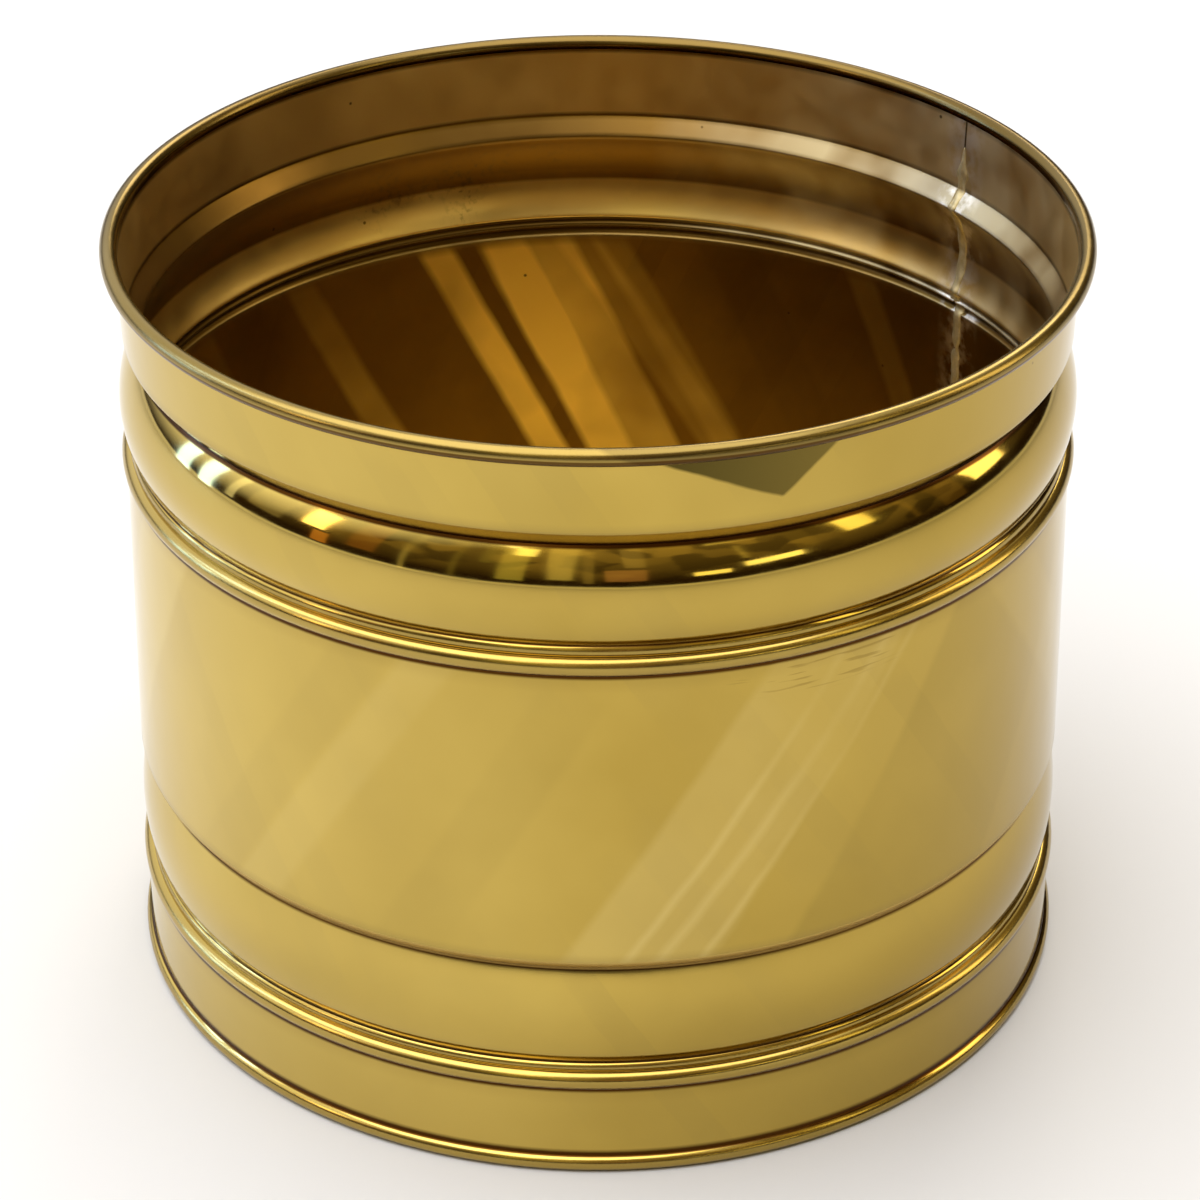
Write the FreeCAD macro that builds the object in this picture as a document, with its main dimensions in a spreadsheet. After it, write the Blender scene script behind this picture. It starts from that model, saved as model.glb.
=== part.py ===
import FreeCAD, Part
import math
import os

import Sketcher
from FreeCAD import Placement, Rotation, Vector

# Cachepot of thin sheet brass, in millimetres. It stands on z = 0 with its axis on Z.
# One rolled sheet carries every moulding. Both its edges are curled over steel wires, its ends are
# brazed at a vertical seam, and a flanged disc is soldered in as the bottom.

SIZES = {
    # The whole pot, to the outside of the curled edges
    "overall_height": 204.5,
    "pot_radius": 125.0,
    # The sheet and the wires in its two curled edges. The curls' turns are in degrees, and so is the
    # place where the foot's curl starts, counted from the outermost point of its circle.
    "sheet_thickness": 0.8,
    "rim_wire_radius": 1.25,
    "foot_wire_radius": 1.35,
    "wire_clearance": 0.15,
    "rim_curl_turn": 292.0,
    "foot_curl_start": 70.0,
    "foot_curl_turn": 310.0,
    "foot_flat_depth": 0.12,
    # Heights of the bands under the rim, from the top down
    "collar_height": 23.1,
    "ledge_drop": 4.8,
    "bulge_height": 25.6,
    "upper_rib_height": 2.8,
    "upper_bead_height": 4.0,
    # Heights of the bands over the foot, from the floor up
    "foot_shoulder_height": 4.3,
    "foot_band_height": 25.4,
    "lower_bead_height": 3.9,
    "lower_rib_height": 2.1,
    "moulding_toe_height": 3.4,
    "moulding_height": 25.4,
    "moulding_step_drop": 2.8,
    # How far the outside of the sheet lies inside the pot's radius, from the top down
    "collar_set_in": 4.2,
    "waist_set_in": 7.7,
    "bulge_set_in": 2.5,
    "upper_crease_set_in": 5.2,
    "upper_rib_set_in": 4.3,
    "upper_groove_set_in": 5.1,
    "upper_bead_set_in": 2.2,
    "wall_top_set_in": 3.4,
    "wall_bottom_set_in": 2.0,
    "moulding_shoulder_set_in": 4.3,
    "moulding_set_in": 1.6,
    "moulding_toe_set_in": 2.6,
    "lower_crease_set_in": 4.0,
    "lower_rib_set_in": 3.1,
    "lower_groove_set_in": 3.7,
    "lower_bead_set_in": 0.8,
    "foot_band_set_in": 1.6,
    # Where each moulding stands out most, as a share of its height from its top
    "bulge_crown_share": 0.52,
    "upper_rib_crown_share": 0.45,
    "upper_bead_crown_share": 0.5,
    "moulding_crown_share": 0.55,
    "lower_rib_crown_share": 0.4,
    "lower_bead_crown_share": 0.52,
    # Rounds pressed at the corners of the ledge and of the step over the lower moulding
    "ledge_edge_round": 1.9,
    "ledge_root_round": 1.1,
    "step_edge_round": 1.6,
    "step_root_round": 1.4,
    # The butt seam of the rolled sheet, its angle in degrees from +X, and its brazing
    "seam_angle": 35.0,
    "seam_gap": 0.6,
    "braze_width": 3.4,
    "braze_proud": 0.3,
    "braze_setback": 6.0,
    # The soldered bottom, a flanged disc with its middle raised
    "base_thickness": 0.8,
    "base_seat_gap": 0.05,
    "base_side_clearance": 0.1,
    "base_flange_height": 9.5,
    "base_bend_radius": 2.4,
    "base_crown_rise": 1.6,
    "base_border": 24.5,
    "base_crown_slope": 7.0,
    "solder_height": 1.3,
    "solder_film": 0.05,
    # How far a cutting body runs past what it cuts
    "cut_overrun": 4.0,
}

# The bands whose sheet is set in from the pot's radius, each by a size of its own
SET_IN = (
    "collar",
    "waist",
    "bulge",
    "upper_crease",
    "upper_rib",
    "upper_groove",
    "upper_bead",
    "wall_top",
    "wall_bottom",
    "moulding_shoulder",
    "moulding",
    "moulding_toe",
    "lower_crease",
    "lower_rib",
    "lower_groove",
    "lower_bead",
    "foot_band",
)

# Sizes that follow from the ones above, as formulas of the sheet
DERIVED = {
    **{f"{band}_radius": f"=pot_radius - {band}_set_in" for band in SET_IN},
    "half_sheet": "=sheet_thickness / 2",
    "rim_bead": "=rim_wire_radius + wire_clearance + sheet_thickness",
    "foot_bead": "=foot_wire_radius + wire_clearance + sheet_thickness",
    "rim_curl_radius": "=rim_bead - half_sheet",
    "foot_curl_radius": "=foot_bead - half_sheet",
    "rim_wire_ring": "=pot_radius - rim_bead",
    "foot_wire_ring": "=pot_radius - foot_bead",
    "rim_wire_level": "=overall_height - rim_bead",
    "foot_wire_level": "=foot_bead - foot_flat_depth",
    "rim_curl_root_ring": "=rim_wire_ring - rim_curl_radius",
    "rim_curl_end_ring": "=rim_wire_ring - rim_curl_radius * cos(rim_curl_turn * 1deg)",
    "rim_curl_end_level": "=rim_wire_level + rim_curl_radius * sin(rim_curl_turn * 1deg)",
    "foot_curl_root_ring": "=foot_wire_ring + foot_curl_radius * cos(foot_curl_start * 1deg)",
    "foot_curl_root_level": "=foot_wire_level + foot_curl_radius * sin(foot_curl_start * 1deg)",
    "foot_curl_end": "=foot_curl_start - foot_curl_turn",
    "foot_curl_end_ring": "=foot_wire_ring + foot_curl_radius * cos(foot_curl_end * 1deg)",
    "foot_curl_end_level": "=foot_wire_level + foot_curl_radius * sin(foot_curl_end * 1deg)",
    "collar_level": "=overall_height - collar_height",
    "waist_level": "=collar_level - ledge_drop",
    "upper_crease_level": "=waist_level - bulge_height",
    "upper_groove_level": "=upper_crease_level - upper_rib_height",
    "wall_top_level": "=upper_groove_level - upper_bead_height",
    "lower_groove_level": "=foot_band_height + lower_bead_height",
    "lower_crease_level": "=lower_groove_level + lower_rib_height",
    "moulding_toe_level": "=lower_crease_level + moulding_toe_height",
    "moulding_shoulder_level": "=moulding_toe_level + moulding_height",
    "wall_bottom_level": "=moulding_shoulder_level + moulding_step_drop",
    "bulge_crown_level": "=waist_level - bulge_crown_share * bulge_height",
    "upper_rib_crown_level": "=upper_crease_level - upper_rib_crown_share * upper_rib_height",
    "upper_bead_crown_level": "=upper_groove_level - upper_bead_crown_share * upper_bead_height",
    "moulding_crown_level": "=moulding_shoulder_level - moulding_crown_share * moulding_height",
    "lower_rib_crown_level": "=lower_crease_level - lower_rib_crown_share * lower_rib_height",
    "lower_bead_crown_level": "=lower_groove_level - lower_bead_crown_share * lower_bead_height",
    "base_radius": "=foot_band_radius - sheet_thickness - base_side_clearance",
    "base_bend_ring": "=base_radius - base_bend_radius",
    "base_seat_reach": "=foot_bead + base_bend_radius + base_seat_gap",
    "base_seat_rise": "=sqrt(base_seat_reach ^ 2 - (foot_wire_ring - base_bend_ring) ^ 2)",
    "base_level": "=foot_wire_level + base_seat_rise - base_bend_radius",
    "base_crown_level": "=base_level + base_crown_rise",
    "base_crown_radius": "=base_radius - base_border",
    "base_slope_radius": "=base_crown_radius + base_crown_slope",
    "base_top_level": "=base_level + base_flange_height",
    "solder_level": "=base_top_level + solder_film",
    "solder_top_level": "=solder_level + solder_height",
    "solder_ring": "=foot_band_radius - sheet_thickness - solder_film",
    "solder_toe_ring": "=base_radius - base_thickness",
    "seam_turn": "=seam_gap / foot_band_radius * 180 / pi",
    "braze_turn": "=braze_width / foot_band_radius * 180 / pi",
    "braze_depth": "=half_sheet + braze_proud",
    "braze_bottom_level": "=solder_top_level + braze_setback",
    "braze_top_level": "=rim_wire_level - rim_bead - braze_setback",
}


def make_sizes(doc):
    """The spreadsheet with every driving and derived size, each under its own name."""
    sheet = doc.addObject("Spreadsheet::Sheet", "Sizes")
    for row, (name, value) in enumerate({**SIZES, **DERIVED}.items(), start=1):
        sheet.set(f"A{row}", name)
        sheet.set(f"B{row}", str(value))
        sheet.setAlias(f"B{row}", name)
    doc.recompute()
    return sheet


class Outline:
    """A sketch in the XZ plane whose X is a radius and whose Y is a height.

    It runs from corner to corner along lines and arcs. Each corner stands at a radius and a level of
    the sheet of sizes, and may be rounded.
    """

    def __init__(self, doc, sizes, name):
        self.doc = doc
        self.sizes = sizes
        self.sketch = doc.addObject("Sketcher::SketchObject", name)
        self.sketch.Placement = Placement(Vector(0, 0, 0), Rotation(Vector(1, 0, 0), 90))
        self.corners = []
        self.stretches = []

    def corner(self, radius, level, inset=None, rounding=None):
        """The next corner. The size named by inset is taken off its radius."""
        self.corners.append((radius, level, inset, rounding))
        self.stretches.append(("line", None))

    def through(self, radius, level, inset=None):
        """The stretch to the next corner is an arc through this crown."""
        self.stretches[-1] = ("crown", (radius, level, inset))

    def around(self, ring, level, curl_radius, upward):
        """The stretch to the next corner is a curl of this radius around this centre."""
        self.stretches[-1] = ("curl", (ring, level, curl_radius, upward))

    def value(self, name):
        """One size as a plain number."""
        number = self.sizes.get(name)
        return float(getattr(number, "Value", number))

    def point(self, radius, level, inset=None):
        """Where the sizes put a point of the sketch."""
        inward = self.value(inset) if inset else 0
        return Vector(self.value(radius) - inward if radius else 0, self.value(level), 0)

    def pin(self, geometry, end, radius, level, inset=None):
        """Binds a point of the sketch to its radius and its level."""
        place = self.point(radius, level, inset)
        if radius:
            across = Sketcher.Constraint("DistanceX", -1, 1, geometry, end, place.x)
            self.bind(across, f"Sizes.{radius}" + (f" - Sizes.{inset}" if inset else ""))
        else:
            self.sketch.addConstraint(Sketcher.Constraint("PointOnObject", geometry, end, -2))
        up = Sketcher.Constraint("DistanceY", -1, 1, geometry, end, place.y)
        self.bind(up, f"Sizes.{level}")

    def bind(self, constraint, formula):
        """Adds a constraint whose size follows the sheet."""
        number = self.sketch.addConstraint(constraint)
        self.sketch.setExpression(f"Constraints[{number}]", formula)

    def end_at(self, geometry, point):
        """Which end of a line or an arc lies at a point: 1 for its start, 2 for its end."""
        gaps = {end: self.sketch.getPoint(geometry, end).distanceToPoint(point) for end in (1, 2)}
        return min(gaps, key=gaps.get)

    def curve(self, number, start, end):
        """The line or arc of one stretch between two points."""
        kind, data = self.stretches[number]
        if kind == "line":
            return Part.LineSegment(start, end)
        if kind == "crown":
            return Part.Arc(start, self.point(*data), end)
        ring, level, curl_radius, upward = data
        reach = self.value(curl_radius) if upward else -self.value(curl_radius)
        return Part.Arc(start, self.point(ring, level) + Vector(0, reach, 0), end)

    def trimmed(self, number, corners):
        """The first and last point of a stretch, clear of the rounds at its two corners."""
        start, end = corners[number], corners[number + 1]
        shape = self.curve(number, start, end).toShape()
        near_start = shape.valueAt(shape.FirstParameter).distanceToPoint(start)
        forward = near_start < shape.valueAt(shape.LastParameter).distanceToPoint(start)
        places = []
        for corner, at_start in ((number, True), (number + 1, False)):
            setback = self.setback(corner, corners)
            along = setback if at_start == forward else shape.Length - setback
            places.append(shape.valueAt(shape.getParameterByLength(along)))
        return places

    def heading(self, number, corners, at_start):
        """The direction in which a stretch leaves or reaches a corner."""
        start, end = corners[number], corners[number + 1]
        shape = self.curve(number, start, end).toShape()
        corner = start if at_start else end
        first_gap = shape.valueAt(shape.FirstParameter).distanceToPoint(corner)
        last_gap = shape.valueAt(shape.LastParameter).distanceToPoint(corner)
        tangent = shape.tangentAt(shape.FirstParameter if first_gap < last_gap else shape.LastParameter)
        forward = (first_gap < last_gap) == at_start
        return tangent if forward else -tangent

    def setback(self, corner, corners):
        """How far the round of a corner reaches along its stretches."""
        rounding = self.corners[corner][3]
        if not rounding:
            return 0
        arriving = self.heading(corner - 1, corners, False)
        leaving = self.heading(corner, corners, True)
        return self.value(rounding) * math.tan(arriving.getAngle(leaving) / 2)

    def draw(self):
        """Adds the geometry and its constraints, and returns the sketch."""
        sketch = self.sketch
        corners = [self.point(*corner[:3]) for corner in self.corners]
        ends = [self.trimmed(number, corners) for number in range(len(corners) - 1)]
        stretches = [
            sketch.addGeometry(self.curve(number, start, end), False)
            for number, (start, end) in enumerate(ends)
        ]
        for number, (radius, level, inset, rounding) in enumerate(self.corners):
            if rounding:
                self.round_corner(number, corners[number], ends, stretches)
                continue
            before = number > 0
            geometry = stretches[number - 1 if before else number]
            end = self.end_at(geometry, corners[number])
            self.pin(geometry, end, radius, level, inset)
            if before and number < len(stretches):
                following = stretches[number]
                following_end = self.end_at(following, corners[number])
                joint = Sketcher.Constraint("Coincident", geometry, end, following, following_end)
                sketch.addConstraint(joint)
        for (kind, data), geometry in zip(self.stretches, stretches):
            if kind == "crown":
                crown = sketch.addGeometry(Part.Point(self.point(*data)), True)
                self.pin(crown, 1, *data)
                sketch.addConstraint(Sketcher.Constraint("PointOnObject", crown, 1, geometry))
            if kind == "curl":
                radius = Sketcher.Constraint("Radius", geometry, self.value(data[2]))
                self.bind(radius, f"Sizes.{data[2]}")
        self.doc.recompute()
        return sketch

    def round_corner(self, number, corner, ends, stretches):
        """A round that is tangent to the stretches on both sides of a corner."""
        sketch = self.sketch
        radius, level, inset, rounding = self.corners[number]
        before, after = stretches[number - 1], stretches[number]
        first, last = ends[number - 1][1], ends[number][0]
        middle = (first + last) / 2
        size = self.value(rounding)
        centre_line = (middle - corner).normalize()
        half_chord = first.distanceToPoint(last) / 2
        to_centre = math.sqrt(size**2 - half_chord**2)
        summit = middle + centre_line * (to_centre - size)
        arc = sketch.addGeometry(Part.Arc(first, summit, last), False)
        point = sketch.addGeometry(Part.Point(corner), True)
        self.pin(point, 1, radius, level, inset)
        for geometry, place in ((before, first), (after, last)):
            near, arc_end = self.end_at(geometry, place), self.end_at(arc, place)
            sketch.addConstraint(Sketcher.Constraint("Tangent", geometry, near, arc, arc_end))
            sketch.addConstraint(Sketcher.Constraint("PointOnObject", point, 1, geometry))
        self.bind(Sketcher.Constraint("Radius", arc, size), f"Sizes.{rounding}")


def sheet_section(doc, name, outline, mode, thickness):
    """The cut face of a sheet that follows an outline."""
    section = doc.addObject("Part::Offset2D", name)
    section.Source = outline
    section.Mode = mode
    section.Join = "Arc"
    section.Fill = True
    section.setExpression("Value", thickness)
    return section


def revolved(doc, name, section, turn):
    """A solid of revolution about Z, from the XZ plane through an angle."""
    body = doc.addObject("Part::Revolution", name)
    body.Source = section
    body.Axis = Vector(0, 0, 1)
    body.Solid = True
    body.setExpression("Angle", turn)
    return body


def turned(body, angle):
    """Turns a body about Z by an angle that follows the sheet of sizes."""
    body.Placement = Placement(Vector(0, 0, 0), Rotation(Vector(0, 0, 1), 1))
    body.setExpression("Placement.Rotation.Angle", angle)


def disc_tool(doc, name, radius, height, level):
    """A plain cylinder on the axis, for cutting and for keeping."""
    tool = doc.addObject("Part::Cylinder", name)
    tool.setExpression("Radius", radius)
    tool.setExpression("Height", height)
    tool.setExpression("Placement.Base.z", level)
    return tool


def cut(doc, name, base, tool):
    """One body less another."""
    result = doc.addObject("Part::Cut", name)
    result.Base = base
    result.Tool = tool
    return result


def shell_outline(doc, sizes):
    """The middle of the rolled sheet, from the end of the rim's curl to the end of the foot's."""
    line = Outline(doc, sizes, "ShellOutline")
    skin = "half_sheet"
    line.corner("rim_curl_end_ring", "rim_curl_end_level")
    line.around("rim_wire_ring", "rim_wire_level", "rim_curl_radius", True)
    line.corner("rim_curl_root_ring", "rim_wire_level")
    line.corner("collar_radius", "collar_level", skin, "ledge_edge_round")
    line.corner("waist_radius", "waist_level", skin, "ledge_root_round")
    line.through("bulge_radius", "bulge_crown_level", skin)
    line.corner("upper_crease_radius", "upper_crease_level", skin)
    line.through("upper_rib_radius", "upper_rib_crown_level", skin)
    line.corner("upper_groove_radius", "upper_groove_level", skin)
    line.through("upper_bead_radius", "upper_bead_crown_level", skin)
    line.corner("wall_top_radius", "wall_top_level", skin)
    line.corner("wall_bottom_radius", "wall_bottom_level", skin, "step_edge_round")
    line.corner("moulding_shoulder_radius", "moulding_shoulder_level", skin, "step_root_round")
    line.through("moulding_radius", "moulding_crown_level", skin)
    line.corner("moulding_toe_radius", "moulding_toe_level", skin)
    line.corner("lower_crease_radius", "lower_crease_level", skin)
    line.through("lower_rib_radius", "lower_rib_crown_level", skin)
    line.corner("lower_groove_radius", "lower_groove_level", skin)
    line.through("lower_bead_radius", "lower_bead_crown_level", skin)
    line.corner("foot_band_radius", "foot_band_height", skin)
    line.corner("foot_band_radius", "foot_shoulder_height", skin)
    line.corner("foot_curl_root_ring", "foot_curl_root_level")
    line.around("foot_wire_ring", "foot_wire_level", "foot_curl_radius", False)
    line.corner("foot_curl_end_ring", "foot_curl_end_level")
    return line.draw()


def build_shell(doc, sizes):
    """The rolled sheet, open along its seam, with what its brazing is made from."""
    outline = shell_outline(doc, sizes)
    section = sheet_section(doc, "ShellSection", outline, "Pipe", "Sizes.half_sheet")
    sheet = revolved(doc, "RolledSheet", section, "360 - Sizes.seam_turn")
    floor = disc_tool(
        doc,
        "FloorTool",
        "Sizes.pot_radius + Sizes.cut_overrun",
        "Sizes.cut_overrun",
        "-Sizes.cut_overrun",
    )
    shell = cut(doc, "BodyShell", sheet, floor)
    turned(shell, "Sizes.seam_angle + Sizes.seam_turn / 2")
    return shell, outline, section, sheet, floor


def build_braze(doc, outline, section, sheet, floor):
    """Brazing that fills the seam and stands a little proud of the sheet inside the pot."""
    fill = revolved(doc, "SeamFill", section, "Sizes.seam_turn")
    turned(fill, "-Sizes.seam_turn")
    strip_section = sheet_section(doc, "StripSection", outline, "Skin", "-Sizes.braze_depth")
    strip = revolved(doc, "SeamStrip", strip_section, "Sizes.braze_turn")
    turned(strip, "-(Sizes.braze_turn + Sizes.seam_turn) / 2")
    span = disc_tool(
        doc,
        "SeamSpan",
        "Sizes.pot_radius + Sizes.cut_overrun",
        "Sizes.braze_top_level - Sizes.braze_bottom_level",
        "Sizes.braze_bottom_level",
    )
    kept = doc.addObject("Part::Common", "SeamStripSpan")
    kept.Base = strip
    kept.Tool = span
    inside = cut(doc, "SeamInside", kept, sheet)
    braze = doc.addObject("Part::Fuse", "SeamBraze")
    braze.Base = cut(doc, "SeamFillFlat", fill, floor)
    braze.Tool = inside
    turned(braze, "Sizes.seam_angle + Sizes.seam_turn / 2")
    return braze


def build_wire(doc, name, ring, wire_radius, level):
    """A steel wire ring inside one of the curled edges."""
    wire = doc.addObject("Part::Torus", name)
    wire.setExpression("Radius1", ring)
    wire.setExpression("Radius2", wire_radius)
    wire.setExpression("Placement.Base.z", level)
    return wire


def build_base(doc, sizes):
    """The bottom disc: its middle raised, its edge bent up into a flange."""
    line = Outline(doc, sizes, "BaseOutline")
    line.corner(None, "base_crown_level")
    line.corner("base_crown_radius", "base_crown_level")
    line.corner("base_slope_radius", "base_level")
    line.corner("base_radius", "base_level", None, "base_bend_radius")
    line.corner("base_radius", "base_top_level")
    section = sheet_section(doc, "BaseSection", line.draw(), "Skin", "Sizes.base_thickness")
    return revolved(doc, "BaseDisc", section, "360")


def build_solder(doc, sizes):
    """The fillet of soft solder between the flange of the bottom and the wall."""
    line = Outline(doc, sizes, "SolderOutline")
    line.corner("solder_ring", "solder_level")
    line.corner("solder_ring", "solder_top_level")
    line.corner("solder_toe_ring", "solder_level")
    line.corner("solder_ring", "solder_level")
    return revolved(doc, "BaseSolder", line.draw(), "360")


def check(doc, parts):
    """Stops on an object that failed or on a part that isn't one valid solid."""
    for item in doc.Objects:
        if {"Invalid", "Error"} & set(item.State):
            raise RuntimeError(f"{item.Name} failed: {item.State}")
    for part in parts:
        shape = part.Shape
        if shape.isNull() or not shape.isValid() or len(shape.Solids) != 1:
            raise RuntimeError(f"{part.Label} isn't one valid solid")


def main():
    doc = FreeCAD.newDocument("Cachepot")
    sizes = make_sizes(doc)
    shell, outline, section, sheet, floor = build_shell(doc, sizes)
    parts = {
        "body_shell": shell,
        "seam_braze": build_braze(doc, outline, section, sheet, floor),
        "rim_wire": build_wire(
            doc, "RimWire", "Sizes.rim_wire_ring", "Sizes.rim_wire_radius", "Sizes.rim_wire_level"
        ),
        "foot_wire": build_wire(
            doc, "FootWire", "Sizes.foot_wire_ring", "Sizes.foot_wire_radius", "Sizes.foot_wire_level"
        ),
        "base_disc": build_base(doc, sizes),
        "base_solder": build_solder(doc, sizes),
    }
    for label, part in parts.items():
        part.Label = label
    doc.recompute()
    check(doc, parts.values())
    os.makedirs("parts", exist_ok=True)
    for label, part in parts.items():
        part.Shape.exportStep(f"parts/{label}.step")
        print(f"{label}: {part.Shape.Volume:.1f} mm3")


main()
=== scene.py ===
import math
from collections import namedtuple

import bmesh
import bpy
import numpy as np
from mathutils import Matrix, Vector, noise


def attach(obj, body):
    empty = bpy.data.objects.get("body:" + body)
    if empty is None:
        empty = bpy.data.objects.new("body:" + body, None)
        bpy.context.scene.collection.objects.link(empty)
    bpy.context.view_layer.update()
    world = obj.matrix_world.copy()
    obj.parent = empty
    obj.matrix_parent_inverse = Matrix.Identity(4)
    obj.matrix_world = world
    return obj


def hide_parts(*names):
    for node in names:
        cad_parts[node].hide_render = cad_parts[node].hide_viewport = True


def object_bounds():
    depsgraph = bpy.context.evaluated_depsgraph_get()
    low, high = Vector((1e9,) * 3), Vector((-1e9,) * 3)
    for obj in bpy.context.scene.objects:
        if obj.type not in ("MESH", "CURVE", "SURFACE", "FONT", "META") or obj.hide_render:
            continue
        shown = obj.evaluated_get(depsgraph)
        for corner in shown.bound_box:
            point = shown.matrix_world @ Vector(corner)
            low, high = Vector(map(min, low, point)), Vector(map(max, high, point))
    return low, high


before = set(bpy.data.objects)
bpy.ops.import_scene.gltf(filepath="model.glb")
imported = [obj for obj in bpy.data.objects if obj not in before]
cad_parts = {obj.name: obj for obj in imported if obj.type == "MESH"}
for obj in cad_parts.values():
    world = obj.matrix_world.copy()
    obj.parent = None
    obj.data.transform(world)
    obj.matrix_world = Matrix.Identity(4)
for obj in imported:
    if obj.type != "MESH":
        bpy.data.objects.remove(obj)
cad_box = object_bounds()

# A cachepot of polished sheet brass, seen from above on a pale floor. It is one rolled sheet with
# pressed mouldings, curled at both edges over steel wires, brazed at a seam and closed by a bottom.

MM = 0.001

# The outer sizes come from the frame, in millimetres
OVERALL_HEIGHT = cad_box[1][2] / MM
EDGE_RADIUS = round((cad_box[1][0] - cad_box[0][0]) / 2 / MM, 1)

# The sheet and its two curled edges, with angles in degrees
SHEET = 0.8
RIM_BEAD = 2.2
FOOT_BEAD = 2.3
FOOT_WORN_FLAT = 0.12
RIM_CURL_TURN = 292.0
FOOT_CURL_START = 70.0
FOOT_CURL_TURN = 310.0

# The bands of the wall from the top down. A band has its height, how far its lower end is set in
# from the curled edges and, where it swells, how far its crown is set in and the crown's place as a
# share of the height.
Band = namedtuple("Band", "height set_in crown_set_in crown_share", defaults=(None, None))
COLLAR = Band(23.1, 4.2)
LEDGE = Band(4.8, 7.7)
BULGE = Band(25.6, 5.2, 2.5, 0.52)
UPPER_RIB = Band(2.8, 5.1, 4.3, 0.45)
UPPER_BEAD = Band(4.0, 3.4, 2.2, 0.5)
WALL_FOOT_SET_IN = 2.0
STEP = Band(2.8, 4.3)
MOULDING = Band(25.4, 2.6, 1.6, 0.55)
MOULDING_TOE = Band(3.4, 4.0)
LOWER_RIB = Band(2.1, 3.7, 3.1, 0.4)
LOWER_BEAD = Band(3.9, 1.6, 0.8, 0.52)
FOOT_BAND = Band(21.1, 1.6)
FOOT_SHOULDER = 4.3

# How finely the turned pieces are made: steps round, and where a line keeps its points
TURN_STEPS = 160
CURL_POINTS = 60
SWELL_POINTS = 40
LINE_STEP = 0.1
CREASE_REACH = 0.5
RELIEF_REACH = 2.4
KEEP_TURN = math.radians(6)
SLIGHT_TURN = math.radians(0.5)
SHORT_RUN = 1.0
KEEP_LENGTH = 3.5

# The seam's place in degrees from +X, and the brazing over it inside: its width, how proud it stands,
# its lowest and highest level, how deep it reaches into the sheet and how long its ends taper
SEAM_ANGLE = 35.0
BRAZE_WIDTH = 4.4
BRAZE_PROUD = 0.3
BRAZE_SPAN = (20.6, 194.1)
BRAZE_SUNK = 0.2
BRAZE_TAPER = 5
BRAZE_STRIDE = 8
BRAZE_TURN_STEPS = 6

# How uneven the brazing is: the middle value, the spread round it, and the length of its waves.
# The row sets the two apart, so that they don't rise and fall together.
Unevenness = namedtuple("Unevenness", "middle spread length row")
BRAZE_EDGES = Unevenness(0.8, 0.5, 4, 7)
BRAZE_LUMPS = Unevenness(0.5, 0.9, 3, 0)

# The bottom: a disc with its edge bent up and its middle raised
BOTTOM_LEVEL = 3.76
BOTTOM_RADIUS = 122.5
BOTTOM_FLANGE = 9.5
BOTTOM_BEND = 2.4
BOTTOM_RISE = 1.6
BOTTOM_RISE_RADIUS = 98.0
BOTTOM_SLOPE = 7.0

# The fillet of solder on the bottom's flange, with the size and the length of its lumps
SOLDER_HEIGHT = 1.3
SOLDER_WAIST = 0.5
SOLDER_CLEARANCE = 0.05
SOLDER_LUMP = 0.3
SOLDER_DIP = 0.2
SOLDER_LUMP_LENGTH = 9

# Slanting streaks that polishing left on the sheet. A streak lies so many degrees round from the seam
# at a level in millimetres, leans from upright by degrees, has a width in millimetres, and is
# brighter than the sheet or, below 0, darker. Its edges fade over so many millimetres to each side.
Streak = namedtuple("Streak", "around level lean width strength")
STREAK_EDGE = 1.2
OUTSIDE_STREAKS = (
    Streak(250, 98, 33, 32, 0.21),
    Streak(249.5, 98, 35, 1.8, 0.26),
    Streak(254, 98, 37, 2.2, 0.26),
    Streak(258.6, 98, 36, 1.6, 0.26),
    Streak(277, 80, 32, 54, -0.35),
    Streak(303, 115, -40, 18, 0.5),
    Streak(192, 90, 33, 14, -0.12),
    Streak(202, 98, 34, 12, 0.14),
    Streak(222, 98, 30, 16, -0.1),
    Streak(160, 95, 30, 26, 0.35),
    Streak(128, 95, 33, 12, -0.4),
    Streak(104, 95, 31, 30, 0.3),
    Streak(66, 95, 34, 20, -0.4),
    Streak(34, 95, 32, 14, 0.35),
    Streak(332, 95, 33, 24, -0.35),
)
INSIDE_STREAKS = (
    Streak(70, 110, 27, 9, 0.9),
    Streak(59, 115, 26, 26, 0.5),
    Streak(64.5, 126, 25, 12, 0.45),
    Streak(54, 130, 34, 11, 0.2),
    Streak(90.7, 110, 28, 9, 0.3),
    Streak(45, 110, 30, 9, 0.2),
    Streak(112, 110, 27, 14, 0.15),
    Streak(28, 105, 28, 16, -0.3),
    Streak(10, 110, 26, 9, 0.2),
    Streak(150, 100, 30, 18, 0.3),
    Streak(195, 100, 28, 12, -0.3),
    Streak(240, 105, 30, 20, 0.3),
    Streak(290, 100, 27, 14, 0.25),
    Streak(330, 105, 30, 10, -0.3),
)

# Oval patches of the sheet: degrees round from the seam, level, width and height in millimetres, and
# the share of the patch over which it fades. In the first the streaks inside carry a painted highlight,
# dark specks lie inside in the next, and fine level scratches on the wall outside in the last.
Patch = namedtuple("Patch", "around level width height fade")
PAINTED_STREAK_HIGHLIGHT = Patch(62, 116, 62, 74, 0.9)
SPECKLED = Patch(73, 163, 110, 34, 0.7)
SCRATCHED = Patch(262, 142, 68, 17, 0.4)

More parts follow.
